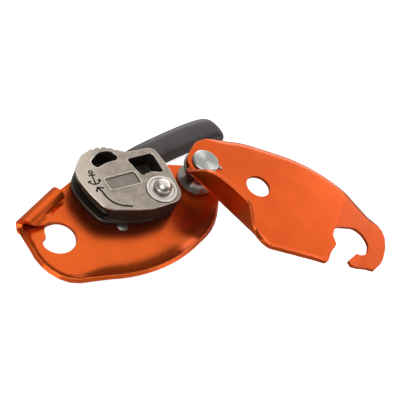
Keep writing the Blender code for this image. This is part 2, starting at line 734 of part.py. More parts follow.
piece("back_plate", back_plate(), ORANGE)
piece("front_plate", swung(front_plate()), ORANGE, PIVOT)
piece("cam", cam(), CAST)
piece("cam_axle", cam_axle(), STEEL)
piece("cam_ring", ring(11.9, 14.6, CAM_TOP - 3.6, CAM_TOP + 0.5, steps=40, chamfer=0.4), STEEL)
piece("axle_bush", ring(AXLE_R + 0.3, 11.7, BACK + 0.1, BACK + PLATE + 0.2, steps=36), BRASS)
piece("cam_spring", coil(12.5, 1.4, CAM_LOW + 0.4, CAM_LOW + 6.4, 3.4), STEEL)
piece("bollard", bollard(), DARK, PIVOT)
piece("pivot_washer", ring(BOLT_R + 0.4, 12.0, FRONT - 1.0, FRONT - 0.3, PIVOT, 40), STEEL, PIVOT)
piece("pivot_bolt", pivot_bolt(), STEEL, PIVOT)
piece("pivot_dowel", swung(rod(DOWEL_R, FRONT + 1.2, FRONT_TOP + 0.9, DOWEL_AT, 20, 0.3)), STEEL, PIVOT)
piece("rear_washer", ring(BOLT_R + 0.4, 10.5, BACK - 1.8, BACK - GAP, PIVOT, 40), STEEL)
piece("pivot_nut", hexagon(16.0, 15.6, BACK - 2.1, PIVOT, BOLT_R + GAP), STEEL)
piece("stop_pin", turned([(0, 37.2), (2.0, 36.9), (3.4, 35.6), (3.9, 33.8), (3.9, 30.3), (0, 30.3)],
                         (-44.9, -10.6), 28), STEEL)
piece("hub_washer", ring(AXLE_R + 0.5, 12.0, HUB_TOP + 0.25, BACK - 0.3, steps=40), BRASS)
piece("trip_ring", trip_ring(), STEEL)
piece("handle_lever", handle_lever(), DARK)
piece("handle_grip", cut(grip(), slab(lever_outline(8.0, 0.4), 6.6, 15.4)), PLASTIC)
cover = cut(rod(HUB_R, 0.0, COVER, steps=40, chamfer=0.5), *[rod(1.9, -2, 6, spot, 16) for spot in screw_spots()],
            *[turned([(0, 1.9), (3.0, 1.9), (3.0, -2), (0, -2)], spot, 20) for spot in screw_spots()])
piece("hub_cover", cover, DARK)
for number, spot in enumerate(screw_spots(), 1):
    screw = turned([(0, 9.0), (1.3, 9.0), (1.3, 1.6), (2.7, 1.6), (2.7, 0.3), (0, 0.3)], spot, 20)
    socket = rod(1.2, -1, 1.1, spot, 6)
    piece(f"cover_screw_{number}", cut(screw, socket), STEEL)
piece("drive_plate", drive_plate(), STEEL)
piece("axle_circlip", cut(ring(AXLE_R - 0.7, 10.0, 6.6, 7.5, steps=40),
                          slab([(-2.5, -14), (2.5, -14), (2.5, 0), (-2.5, 0)], 5, 9)), STEEL)
piece("pawl", pawl(), STEEL, PAWL_AT)
piece("pawl_pin", rod(1.5, 8.3, 21.8, PAWL_AT, 20, 0.3), STEEL, PAWL_AT)
piece("pawl_spring", coil(3.0, 0.7, 13.7, 17.6, 4.0, PAWL_AT), STEEL, PAWL_AT)
piece("handle_spring", coil(10.2, 1.4, 14.2, 19.2, 2.1), STEEL)

for part in PIECES:
    part.data.calc_loop_triangles()
print(", ".join(f"{p.name} {len(p.data.loop_triangles)}" for p in PIECES))
print(len(PIECES), "pieces,", sum(len(p.data.loop_triangles) for p in PIECES), "triangles")
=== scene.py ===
# %% [markdown]
# Anti-panic descender, opened. A descender lets a climber or rescuer slide down a rope under
# control: the rope runs around a grooved cam, between two orange side plates, and a handle
# eases the cam's grip. In this view the front plate is swung out on its bolt, so that the cam,
# the bollard and the attachment eye can be seen.
#
# Every solid comes in from the imported model, in metres and in its final place. This script
# gives them their finish: eased edges, engraved marks, and the colours and wear of each metal,
# with light and shade painted into some of those colours.

# %% Load the solids
import math

import bmesh
import bpy
from mathutils import Matrix, Vector


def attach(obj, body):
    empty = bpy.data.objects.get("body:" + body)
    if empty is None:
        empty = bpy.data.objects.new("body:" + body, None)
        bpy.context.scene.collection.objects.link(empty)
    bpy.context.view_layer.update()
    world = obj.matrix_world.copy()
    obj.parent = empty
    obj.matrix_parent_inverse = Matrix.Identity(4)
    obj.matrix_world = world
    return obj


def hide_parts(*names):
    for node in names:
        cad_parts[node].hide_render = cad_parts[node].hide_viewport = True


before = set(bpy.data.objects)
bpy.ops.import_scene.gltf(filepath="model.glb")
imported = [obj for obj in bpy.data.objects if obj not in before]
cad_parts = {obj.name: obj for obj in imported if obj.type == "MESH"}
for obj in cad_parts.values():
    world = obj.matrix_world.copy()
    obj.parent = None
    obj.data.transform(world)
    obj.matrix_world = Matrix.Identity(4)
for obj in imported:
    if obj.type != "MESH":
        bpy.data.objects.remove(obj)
scene = bpy.context.scene
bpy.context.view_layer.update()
MM = 0.001
pieces = bpy.data.collections.new("finished pieces")
scene.collection.children.link(pieces)

# %% [markdown]
# The camera stands where the photographer stood, a little above the table and turned about
# its own axis, so that the long plates run across the frame. Its place was worked out from
# the round parts of the device, whose outlines are ellipses that tell how the plates lie.

# %% Camera
EYE = Vector((-0.3413, -0.2190, 0.520))     # metres from the foot of the cam's axle
LOOK_ALONG = Vector((0.58791171, 0.31127359, -0.74663818))
TO_RIGHT = Vector((0.73865198, -0.58285771, 0.3386298))
TO_FOOT = Vector((-0.32977731, -0.7505902, -0.57259172))
lens = bpy.data.cameras.new("camera")
lens.sensor_width = 36.0
lens.lens = 63.0
camera = bpy.data.objects.new("camera", lens)
facing = Matrix((TO_RIGHT, -TO_FOOT, -LOOK_ALONG)).transposed().to_4x4()
camera.matrix_world = Matrix.Translation(EYE) @ facing
scene.collection.objects.link(camera)
scene.camera = camera
scene.view_settings.view_transform = "Standard"
print("camera", round(EYE.length, 3), "m from the axle")

# %% [markdown]
# Every finish below is a small sum of noises, ramps and blends over the surface. In Blender
# that sum is a tree of shader nodes, and a long list of links hides what it says. This helper
# lets a node's socket be added, multiplied or raised like a number, so that each finish can
# be read as a formula.

# %% Shader helper
class Sock:
    """A node socket that can be used in a Python expression."""

    def __init__(self, tree, socket):
        self.tree, self.socket = tree, socket

    def maths(self, operation, other, swap=False):
        values = [other, self] if swap else [self, other]
        return self.tree.node("ShaderNodeMath", {"operation": operation}, values)

    def __add__(self, other):
        return self.maths("ADD", other)

    def __radd__(self, other):
        return self.maths("ADD", other, True)

    def __sub__(self, other):
        return self.maths("SUBTRACT", other)

    def __rsub__(self, other):
        return self.maths("SUBTRACT", other, True)

    def __mul__(self, other):
        return self.maths("MULTIPLY", other)

    def __truediv__(self, other):
        return self.maths("DIVIDE", other)

    def __pow__(self, other):
        return self.maths("POWER", other)

    def ramp(self, low, high):
        """0 below low, 1 above high, eased between."""
        return self.tree.node("ShaderNodeMapRange", {"interpolation_type": "SMOOTHSTEP"},
                              {"Value": self, "From Min": low, "From Max": high})


class Finish:
    """A material with its shader, and one method for every other node."""

    def __init__(self, name, rough, metal, colour=(0.5, 0.5, 0.5)):
        self.material = bpy.data.materials.new(name)
        self.material.use_nodes = True
        self.nodes = self.material.node_tree.nodes
        self.links = self.material.node_tree.links
        self.shader = self.nodes["Principled BSDF"]
        self.place = self.node("ShaderNodeTexCoord", {}, {}, "Object")
        self.set("Roughness", rough)
        self.set("Metallic", metal)
        self.set("Base Color", (*colour, 1.0))

    def node(self, kind, settings, values, out=0):
        """A new node with these settings and inputs; what comes back is its output `out`."""
        node = self.nodes.new(kind)
        for key, value in settings.items():
            setattr(node, key, value)
        pairs = enumerate(values) if isinstance(values, list) else values.items()
        for key, value in pairs:
            if isinstance(value, Sock):
                self.links.new(value.socket, node.inputs[key])
            else:
                node.inputs[key].default_value = value
        return Sock(self, node.outputs[out])

    def set(self, key, value):
        if isinstance(value, Sock):
            self.links.new(value.socket, self.shader.inputs[key])
        else:
            self.shader.inputs[key].default_value = value

    def axes(self, place):
        """The x, y and z of a place, in metres."""
        split = self.nodes.new("ShaderNodeSeparateXYZ")
        self.links.new(place.socket, split.inputs[0])
        return [Sock(self, out) for out in split.outputs]

    def grain(self, size, detail, rough=0.55):
        """Soft noise whose blobs are about `size` millimetres across, from 0 to 1."""
        return self.node("ShaderNodeTexNoise", {}, {"Vector": self.place, "Scale": 1.0 / (size * MM),
                                                    "Detail": detail, "Roughness": rough})

    def blend(self, share, one, two):
        """Colour `one` where the share is 0, and colour `two` where it is 1."""
        one, two = [(*c, 1.0) if isinstance(c, tuple) else c for c in (one, two)]
        node = self.nodes.new("ShaderNodeMix")
        node.data_type = "RGBA"
        for key, value in (("Factor_Float", share), ("A_Color", one), ("B_Color", two)):
            slot = next(s for s in node.inputs if s.identifier == key)
            if isinstance(value, Sock):
                self.links.new(value.socket, slot)
            else:
                slot.default_value = value
        return Sock(self, next(s for s in node.outputs if s.identifier == "Result_Color"))

    def bump(self, height, depth):
        """Relief of `depth` millimetres where the height runs from 0 to 1."""
        self.set("Normal", self.node("ShaderNodeBump", {}, {"Height": height, "Distance": depth * MM}))


def toned(colour, share):
    """A colour made lighter or darker by this share."""
    return tuple(min(1.0, c * share) for c in colour)


print("shader helper ready")

# %% [markdown]
# A catalogue picture stands on pure white. The floor adds a little light of its own that only
# the camera sees, which lifts it to white where lamps reach it and still lets the soft shadow
# under the device show. The metal mirrors a plain grey table instead, so that the sides of
# the plates that face it stay deep in colour.

# %% Floor
FLOOR_WHITE = (0.86, 0.86, 0.86)
FLOOR_TONE = (0.62, 0.61, 0.60)           # what the device sees of the table
FLOOR_GLOW = 0.84                         # what lifts it to white for the camera
FLOOR_REACH, FLOOR_DROP = 3.0, 0.0006     # half its width, and how far it lies below z = 0, in metres
floor_finish = Finish("floor", 0.9, 0.0, FLOOR_WHITE)
seen = floor_finish.node("ShaderNodeLightPath", {}, {}, "Is Camera Ray")
floor_finish.set("Base Color", floor_finish.blend(seen, FLOOR_TONE, FLOOR_WHITE))
floor_finish.set("Emission Color", (1.0, 1.0, 1.0, 1.0))
floor_finish.set("Emission Strength", seen * FLOOR_GLOW)
corners = [(x * FLOOR_REACH, y * FLOOR_REACH, -FLOOR_DROP) for x, y in ((-1, -1), (1, -1), (1, 1), (-1, 1))]
floor_mesh = bpy.data.meshes.new("floor")
floor_mesh.from_pydata(corners, [], [(0, 1, 2, 3)])
floor_mesh.materials.append(floor_finish.material)
floor = bpy.data.objects.new("floor", floor_mesh)
scene.collection.objects.link(floor)
print("floor", 2 * FLOOR_REACH, "m wide")

# %% [markdown]
# Polished metal has little look of its own: it shows the room. The room here is a white set
# whose bright walls fade into a dark ceiling, so a bent plate runs from light to dark as it
# turns upwards. The camera itself sees plain white, whatever the metal sees.

# %% Background
HORIZON, ZENITH = 0.62, 0.12         # brightness of the walls, and of the ceiling
FADE_FROM, FADE_TO = 0.22, 0.62      # heights of a direction between which one fades into the other
world = bpy.data.worlds.new("studio")
world.use_nodes = True
scene.world = world
sky = world.node_tree
back = sky.nodes["Background"]
back.inputs["Color"].default_value = (1.0, 1.0, 1.0, 1.0)
direction = sky.nodes.new("ShaderNodeTexCoord")
split = sky.nodes.new("ShaderNodeSeparateXYZ")
fade = sky.nodes.new("ShaderNodeMapRange")
fade.interpolation_type = "SMOOTHSTEP"
for key, value in (("From Min", FADE_FROM), ("From Max", FADE_TO),
                   ("To Min", HORIZON), ("To Max", ZENITH)):
    fade.inputs[key].default_value = value
rays = sky.nodes.new("ShaderNodeLightPath")
level = sky.nodes.new("ShaderNodeMix")
level.data_type = "FLOAT"
level.inputs["B"].default_value = 1.0
sky.links.new(direction.outputs["Generated"], split.inputs[0])
sky.links.new(split.outputs[2], fade.inputs["Value"])
sky.links.new(fade.outputs["Result"], level.inputs["A"])
sky.links.new(rays.outputs["Is Camera Ray"], level.inputs["Factor"])
sky.links.new(level.outputs["Result"], back.inputs["Strength"])
print("background from", HORIZON, "at the walls to", ZENITH, "at the ceiling")

# %% [markdown]
# Large soft lamps behind, above and at both sides make the long gradients that bent sheet
# metal shows. A low strip behind draws the bright lines along the rolled edges, and a small
# card in front fills the sides that face the camera.

# %% Lamps
MIDDLE = (0.03, -0.03, 0.03)
# Each lamp's place, aim and size in metres, and its power in watts.
LAMPS = {
    "back softbox": ((0.62, 0.50, 0.95), MIDDLE, (1.5, 1.1), 5.2),
    "right softbox": ((1.15, -0.15, 0.62), MIDDLE, (0.8, 0.6), 2.2),
    "overhead softbox": ((-0.15, 0.05, 1.15), MIDDLE, (0.6, 0.6), 3.4),
    "left softbox": ((-0.95, -0.25, 0.45), MIDDLE, (0.5, 0.5), 1.6),
    "low strip behind": ((1.05, 0.78, 0.27), (0.12, 0.0, 0.04), (1.3, 0.42), 4.0),
    "front right card": ((0.62, -0.95, 0.30), (0.08, 0.0, 0.02), (0.5, 0.35), 1.3),
}
for name, (place, aim, size, power) in LAMPS.items():
    light = bpy.data.lights.new(name, "AREA")
    light.shape = "RECTANGLE"
    light.size, light.size_y = size
    light.energy = power
    lamp = bpy.data.objects.new(name, light)
    lamp.location = place
    lamp.rotation_euler = (Vector(aim) - Vector(place)).to_track_quat("-Z", "Y").to_euler()
    scene.collection.objects.link(lamp)
print(len(LAMPS), "lamps set")

# %% [markdown]
# The side plates are pressed from aluminium sheet and anodised orange. The dyed oxide is a
# thin, clear skin over metal, so the plates mirror their surroundings softly and in orange.
# A metallic shader with an orange base does the same. Slow noise makes the skin a little
# uneven. A second, paler finish on the rounded edges is a painted highlight, and ellipses of
# deep brown are painted shade, which about the cam's foot stands for dark reflections too.

# %% Anodised orange
# colour of the painted shade
PAINTED_SHADE_TONE = (0.20, 0.026, 0.012)
# Stretches of painted shade, each an ellipse: its middle and half widths in millimetres, the
# shares of its width between which the shade fades, and the shade's strength.
DISH_SHADES = [((-20.0, 18.0), (52.0, 40.0), 0.86, 1.22, 0.85),     # about the cam's foot
               ((22.0, -31.0), (34.0, 24.0), 0.25, 1.0, 0.7)]       # hollow below the bollard
HOOK_SHADES = [((190.0, -150.0), (120.0, 120.0), 0.1, 1.0, 0.30)]   # hook end of the front plate


def anodised(name, colour, deep, rough, metal, shades=()):
    """Orange dye, with painted shade over the stretches named in `shades`."""
    finish = Finish(name, rough, metal)
    cloud = finish.grain(38.0, 2.0)
    fine = finish.grain(0.35, 2.0, 0.6)
    tone = finish.blend(cloud.ramp(0.3, 0.75), deep, colour)
    x, y = finish.axes(finish.place)[:2]
    # painted shade: each ellipse darkens the dye towards a deep brown
    for spot, reach, low, high, share in shades:
        across = (x - spot[0] * MM) / (reach[0] * MM)
        along = (y - spot[1] * MM) / (reach[1] * MM)
        far = (across ** 2.0 + along ** 2.0) ** 0.5
        tone = finish.blend((1.0 - far.ramp(low, high)) * share, tone, PAINTED_SHADE_TONE)
    finish.set("Base Color", tone)
    finish.set("Roughness", fine * 0.08 + (cloud * 0.06 + (rough - 0.07)))
    finish.bump(fine, 0.012)
    return finish.material


# The front plate's orange is a darker copy of the back plate's, a painted shade, and its hook end gets more
# painted shade.
orange = anodised("orange anodising", (0.72, 0.100, 0.010), (0.64, 0.084, 0.008), 0.26, 0.84, HOOK_SHADES)
orange_dish = anodised("orange anodising, dish", (0.80, 0.122, 0.013), (0.72, 0.102, 0.011), 0.26, 0.82,
                       DISH_SHADES)
# painted highlight: the rounded edges of the plates get a paler orange
orange_edge_highlight = anodised("orange edge highlight", (0.88, 0.17, 0.032), (0.82, 0.14, 0.024), 0.32, 0.7)
print("anodised finishes:", [m.name for m in (orange, orange_dish, orange_edge_highlight)])

# %% [markdown]
# The cam is cast, blasted and handled: a warm grey with darker pores, and edges that are
# polished bright by rope and gloves. Noises of different size make mottle, pores and specks,
# and the pores drive the relief too, so that what is dark also lies deeper. Below its face the
# casting is painted much darker: that is painted shade on its side walls and in its pockets, and
# partly a face worn lighter than the walls. Its left end is painted paler, a painted highlight.

# %% Cast finishes
CAM_TOP = 53.5                  # height of the cam's face, in millimetres
WALL_SHADE = (-1.3, -0.4)             # heights from the face between which the painted shade on the walls gives way
LIGHT_END = (-0.072, -0.042)       # x between which the painted highlight at the -X end fades out, in metres
LIGHT_END_LEAN = 0.35              # how far that line leans, as x for each length of y


def cast(name, light, dark, rough, metal, face_height=None):
    """Blasted casting; below the face's height it is painted darker, a painted shade on walls and pockets,
    and its -X end gets a painted highlight.
    """
    finish = Finish(name, rough, metal)
    mottle = finish.grain(7.0, 4.0, 0.6)
    pores = finish.grain(0.55, 3.0, 0.6)
    specks = finish.grain(1.3, 2.0, 0.5)
    share = (mottle * 0.45 + pores * 0.55).ramp(0.30, 0.66)
    colour = finish.blend(share, dark, light)
    colour = finish.blend(specks.ramp(0.62, 0.72) * 0.55, colour, toned(dark, 0.35))
    if face_height:
        x, y, height = finish.axes(finish.place)
        # painted highlight: paler towards the -X end
        painted_light = (1.0 - (x - y * LIGHT_END_LEAN).ramp(*LIGHT_END)) * (0.55 + mottle * 0.5)
        colour = finish.blend(painted_light, colour, toned(light, 1.45))
        # painted shade: darker below the face, on the walls and in the pockets
        wall_shade = height.ramp((face_height + WALL_SHADE[0]) * MM, (face_height + WALL_SHADE[1]) * MM)
        colour = finish.blend(wall_shade, toned(dark, 0.34), colour)
    finish.set("Base Color", colour)
    finish.set("Roughness", rough + 0.12 - mottle * 0.22)
    finish.bump(pores * 0.8 + specks * 0.2, 0.07)
    return finish.material


cam_face = cast("cast cam", (0.43, 0.365, 0.305), (0.235, 0.195, 0.163), 0.40, 0.75, CAM_TOP)
cam_edge = cast("cam edge", (0.72, 0.64, 0.55), (0.50, 0.43, 0.36), 0.30, 0.9, CAM_TOP - 0.6)
cam_mark = Finish("engraved line", 0.7, 0.3, (0.018, 0.014, 0.013)).material
alloy = cast("coated alloy", (0.085, 0.072, 0.07), (0.05, 0.043, 0.042), 0.45, 0.4)
print("cast finishes:", [m.name for m in (cam_face, cam_edge, cam_mark, alloy)])

# %% [markdown]
# Bolt, bollard, axle and rings are turned on a lathe, which leaves fine rings about their
# axis. The rings are too fine to model, so they tip the shading normal in and out instead. A
# faced end also shows a fan of light and dark about its middle, because its grooves mirror the
# lamps in two opposite directions only; on the bolt that fan is a painted highlight in its colour.

# %% Turned finishes
PIVOT = (54.3, 5.9)             # axis of bolt and bollard, in millimetres from the cam's
BUTTON_MIDDLE = (-41.0, -7.3)   # axis of the stop pin's head
AT_AXIS = 0.0002                # keeps a division whole at the axis itself, in metres


def turned(name, colour, dark, rough, pitch, centre, lean=0.16, sheen=0.0):
    """Lathe rings about an upright axis through `centre`: they tip the surface in and out.

    A faced end also gets a painted highlight, a fan of light and dark about its axis in its colour; `sheen`
    is how strong it is.
    """
    finish = Finish(name, rough, 1.0)
    shift = tuple(-c * MM for c in (*centre, 0.0))
    local = finish.node("ShaderNodeVectorMath", {"operation": "ADD"}, [finish.place, shift])
    x, y, z = finish.axes(local)
    radius = (x * x + y * y) ** 0.5
    per_metre = 1.0 / (pitch * MM)
    along = finish.node("ShaderNodeCombineXYZ", {}, [radius * per_metre, z * per_metre, 0.0])
    rings = finish.node("ShaderNodeTexNoise", {}, {"Vector": along, "Scale": 1.0, "Detail": 1.0})
    outward = finish.node("ShaderNodeCombineXYZ", {}, [x / (radius + AT_AXIS), y / (radius + AT_AXIS), 0.0])
    outward = finish.node("ShaderNodeVectorTransform", {"vector_type": "VECTOR", "convert_from": "OBJECT",
                                                        "convert_to": "WORLD"}, [outward])
    tip = finish.node("ShaderNodeVectorMath", {"operation": "SCALE"},
                      {"Vector": outward, "Scale": (rings - 0.5) * lean})
    upright = finish.node("ShaderNodeNewGeometry", {}, {}, "Normal")
    normal = finish.node("ShaderNodeVectorMath", {"operation": "ADD"}, [upright, tip])
    normal = finish.node("ShaderNodeVectorMath", {"operation": "NORMALIZE"}, [normal])
    cloud = finish.grain(5.0, 2.0)
    shade = finish.blend((rings * 0.75 + cloud * 0.25).ramp(0.3, 0.7), dark, colour)
    # painted highlight: a fan of light and dark about the axis
    if sheen:
        side = (y / (radius + AT_AXIS)) ** 2.0
        fan = side ** 3.0 * 0.45 + side ** 60.0 * 0.9
        shade = finish.blend(fan * sheen, toned(dark, 0.62), toned(colour, 1.5))
    finish.set("Base Color", shade)
    finish.set("Roughness", rough + (cloud - 0.5) * 0.10)
    finish.set("Normal", normal)
    return finish.material


steel = turned("turned steel", (0.68, 0.63, 0.57), (0.58, 0.53, 0.48), 0.30, 0.25, (0.0, 0.0), 0.05)
steel_bolt = turned("turned bolt", (0.72, 0.72, 0.68), (0.50, 0.50, 0.47), 0.24, 0.22, PIVOT, 0.20, 1.0)
bollard_steel = turned("bollard steel", (0.46, 0.40, 0.36), (0.38, 0.33, 0.30), 0.26, 0.5, PIVOT, 0.04)
button_steel = turned("button steel", (0.34, 0.32, 0.30), (0.28, 0.26, 0.24), 0.34, 0.4, BUTTON_MIDDLE, 0.03)
bronze = turned("bearing bronze", (0.55, 0.40, 0.18), (0.42, 0.29, 0.12), 0.32, 0.4, (0.0, 0.0))
print("turned finishes:", [m.name for m in (steel, steel_bolt, bollard_steel, button_steel, bronze)])

# %% [markdown]
# The grip is moulded over the lever's arm in a dark, slightly soft plastic. It has no metal
# in it, so its shader is a plain one, and a fine grain in the relief breaks up its highlight
# as the etched face of a mould does.

# %% Moulded finish
def moulded(name, colour, dark, rough):
    """Plastic with the etched grain of its mould."""
    finish = Finish(name, rough, 0.0)
    cloud = finish.grain(22.0, 2.0)
    grain = finish.grain(0.45, 2.0, 0.6)
    finish.set("Base Color", finish.blend(cloud.ramp(0.3, 0.7), dark, colour))
    finish.set("Roughness", rough + (grain - 0.5) * 0.18)
    finish.bump(grain, 0.03)
    return finish.material


grip_rubber = moulded("moulded grip", (0.050, 0.034, 0.033), (0.036, 0.024, 0.024), 0.34)
print("moulded finish:", grip_rubber.name)

# %% [markdown]
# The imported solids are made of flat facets. A finer copy of each visible one is subdivided,
# which rounds its outline, and its sharp edges are creased, so that they stay sharp while
# their line becomes smooth. Long stretches of a sharp edge are cut into even ones first,
# because a smoothed line bulges where short stretches meet long ones.

# %% Finer copies
FLAT = math.radians(0.6)       # faces that lean less than this are one flat
STEP = 4.0                     # sharp edges over 1.5 times this are cut shorter than it, in millimetres
WELD = 4e-5                    # points nearer than this are one, in metres
FINER_LEVELS = 2               # times that a copy is subdivided


def is_sharp(edge, limit):
    """True where two faces meet at more than `limit` degrees."""
    return len(edge.link_faces) == 2 and edge.calc_face_angle(0.0) > math.radians(limit)


def edge_values(bm, name):
    """The layer of numbers that a mesh keeps under this name, one for each edge."""
    layers = bm.edges.layers.float
    return layers.get(name) or layers.new(name)


def smooth_outline(edges, spot, reach, rounds):
    """Even out a sheet's outline within `reach` of a spot: each point moves towards its neighbours."""
    beside = {}
    for edge in edges:
        for vert in edge.verts:
            beside.setdefault(vert, []).append(edge.other_vert(vert))
    near = {v: two for v, two in beside.items() if len(two) == 2 and (v.co.xy - spot).length < reach}
    for _ in range(rounds):
        moved = {v: (v.co * 2 + a.co + b.co) / 4 for v, (a, b) in near.items()}
        for vert, place in moved.items():
            vert.co.xy = place.xy


def smooth_cage(source, limit, relax):
    """A copy of a solid with even stretches along its sharp edges, which are creased."""
    mesh = source.data.copy()
    bm = bmesh.new()
    bm.from_mesh(mesh)
    bmesh.ops.remove_doubles(bm, verts=bm.verts, dist=WELD)
    bmesh.ops.dissolve_limit(bm, angle_limit=FLAT, verts=bm.verts, edges=bm.edges)
    for edge in [e for e in bm.edges if is_sharp(e, limit) and e.calc_length() > 1.5 * STEP * MM]:
        bmesh.ops.subdivide_edges(bm, edges=[edge], cuts=int(edge.calc_length() / (STEP * MM)))
    for spot, reach, rounds in relax:
        outline = [e for e in bm.edges if is_sharp(e, limit)]
        smooth_outline(outline, Vector(spot) * MM, reach * MM, rounds)
    bmesh.ops.triangulate(bm, faces=[f for f in bm.faces if len(f.verts) > 4], ngon_method="BEAUTY")
    crease = edge_values(bm, "crease_edge")
    for edge in bm.edges:
        edge[crease] = 1.0 if is_sharp(edge, limit) else 0.0
    bm.to_mesh(mesh)
    bm.free()
    mesh.shade_smooth()
    mesh.materials.clear()
    return mesh


def placed(name, data, materials=()):
    """A new object for a mesh or curve, with its materials, among the finished pieces."""
    for material in materials:
        data.materials.append(material)
    obj = bpy.data.objects.new(name, data)
    pieces.objects.link(obj)
    return obj


def finer_copy(node, limit, materials, relax=()):
    """A copy of a solid with a modifier that subdivides it; edges over `limit` degrees stay sharp."""
    obj = placed(node + "_finished", smooth_cage(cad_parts[node], limit, relax), materials)
    finer = obj.modifiers.new("finer", "SUBSURF")
    finer.levels = finer.render_levels = FINER_LEVELS
    return obj


def settled(obj):
    """Turn an object's modifiers into plain geometry."""
    depsgraph = bpy.context.evaluated_depsgraph_get()
    shape = bpy.data.meshes.new_from_object(obj.evaluated_get(depsgraph))
    obj.modifiers.clear()
    obj.data = shape
    return obj


print("long sharp edges are cut to under", STEP, "mm, and copies subdivided", FINER_LEVELS, "times")

# %% [markdown]
# Anodised sheet mirrors its surroundings, so a flat face has to shade as one flat. Blender
# averages the normals of the faces about a corner, and narrow faces beside a wide one would
# bend its reflection. Here each face counts by the area of the whole flat that it belongs to,
# so wide flats win, and no corner leans far from its own face.

# %% Even shading
SMOOTH = 50.0                              # faces that lean more than this are shaded apart, in degrees
FLAT_DOT = math.cos(FLAT)
MOST_TIP = math.cos(math.radians(34.0))    # farthest that a corner's shading may lean from its face


def flats(bm):
    """The number of the flat that each face belongs to, and the area of each flat."""
    bm.faces.ensure_lookup_table()
    region = [-1] * len(bm.faces)
    area = []
    for first in bm.faces:
        if region[first.index] >= 0:
            continue
        number, total, waiting = len(area), 0.0, [first]
        region[first.index] = number
        while waiting:
            face = waiting.pop()
            total += face.calc_area()
            for edge in face.edges:
                for other in edge.link_faces:
                    if region[other.index] < 0 and first.normal.dot(other.normal) > FLAT_DOT:
                        region[other.index] = number
                        waiting.append(other)
        area.append(total)
    return region, area


def even_normals(mesh, smooth=SMOOTH):
    """Shade each corner by the faces around it, weighted by the flat that each belongs to."""
    bm = bmesh.new()
    bm.from_mesh(mesh)
    region, area = flats(bm)
    normals = []
    limit = math.cos(math.radians(smooth))
    for face in bm.faces:
        for loop in face.loops:
            total = Vector((0.0, 0.0, 0.0))
            for other in loop.vert.link_faces:
                if face.normal.dot(other.normal) > limit:
                    total += other.normal * area[region[other.index]]
            total.normalize()
            normals.append(total if total.dot(face.normal) > MOST_TIP else face.normal.copy())
    bm.free()
    mesh.shade_smooth()
    mesh.normals_split_custom_set(normals)


print("faces are shaded as one up to", SMOOTH, "degrees")

# %% [markdown]
# Real sheet and castings have no knife edges, and the narrow round along each edge is where
# light catches and where the wear sits. A bevel runs along every sharp edge of the finer
# copy, and its faces get a finish of their own: on the plates a paler orange, which is a painted
# highlight, and on the cam the bright polish of wear. Where the mesh is fine the bevel is made
# narrower, because a bevel that is wider than the faces beside it would fold over itself.

# %% Eased edges
SHARP = 32.0                # faces that meet at more than this are eased, in degrees
BEVEL_STEPS = 2
ROOM_USED = 0.85            # share of the free room beside an edge that its bevel may take
ALL_SHARP_ROOM = 0.002      # room where every edge about a point is sharp, in metres


def weigh_edges(mesh, width, left_sharp):
    """Give each sharp edge its share of the bevel's width, less where the mesh beside it is fine.

    Edges within (spot, reach) of `left_sharp` stay as they are.
    """
    bm = bmesh.new()
    bm.from_mesh(mesh)
    weight = edge_values(bm, "bevel_weight_edge")
    sharp = {e: is_sharp(e, SHARP) for e in bm.edges}
    room = {}
    for vert in bm.verts:
        if any(sharp[e] for e in vert.link_edges):
            free = [e.calc_length() * (0.5 if any(sharp[o] for o in e.other_vert(vert).link_edges) else 1.0)
                    for e in vert.link_edges if not sharp[e]]
            room[vert] = min(free or [ALL_SHARP_ROOM])
    for edge in bm.edges:
        share = 0.0
        middle = (edge.verts[0].co + edge.verts[1].co).xy / 2
        if sharp[edge] and not any((middle - Vector(spot) * MM).length < reach * MM
                                   for spot, reach in left_sharp):
            share = min(1.0, ROOM_USED * min(room[v] for v in edge.verts) / (width * MM))
        edge[weight] = share
    bm.to_mesh(mesh)
    bm.free()


def combine(obj, name, operation, tool):
    """Join another closed mesh to this one, or cut it from it."""
    change = obj.modifiers.new(name, "BOOLEAN")
    change.object = tool
    change.operation = operation
    change.solver = "MANIFOLD"
    return change


def eased(node, width, face, edge, cutters=(), relax=(), added=(), left_sharp=(), without=None):
    """Replace a solid with a copy whose outline is smooth and whose edges are rounded over.

    Faces whose middle, in millimetres, passes the test `without` are left out.
    """
    obj = finer_copy(node, SHARP, (face, edge), relax)
    for number, more in enumerate(added):
        combine(obj, f"join {number}", "UNION", more)
    settled(obj)
    weigh_edges(obj.data, width, left_sharp)
    bevel = obj.modifiers.new("ease", "BEVEL")
    bevel.width = width * MM
    bevel.segments = BEVEL_STEPS
    bevel.limit_method = "WEIGHT"
    bevel.use_clamp_overlap = False
    bevel.loop_slide = False
    bevel.material = 1
    for number, cutter in enumerate(cutters):
        combine(obj, f"engrave {number}", "DIFFERENCE", cutter).material_mode = "TRANSFER"
    settled(obj)
    if without:
        bm = bmesh.new()
        bm.from_mesh(obj.data)
        left_out = [f for f in bm.faces if without(f.calc_center_median() / MM)]
        bmesh.ops.delete(bm, geom=left_out, context="FACES")
        bm.to_mesh(obj.data)
        bm.free()
    even_normals(obj.data)
    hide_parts(node)
    return obj


def ride_on(obj, body):
    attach(obj, body)
    print(obj.name, len(obj.data.polygons), "faces, on", body)


print("edges over", SHARP, "degrees are eased")

# %% [markdown]
# Both side plates are 4 mm sheet with a broken edge. The solid's own tab at the upper left of
# the back plate is bent in few, wide steps, so its faces are left out here and a finer tab
# takes their place further down. Where the front plate's far edge begins to roll, the outline
# read from the photograph is uneven, and a few rounds of smoothing settle it.

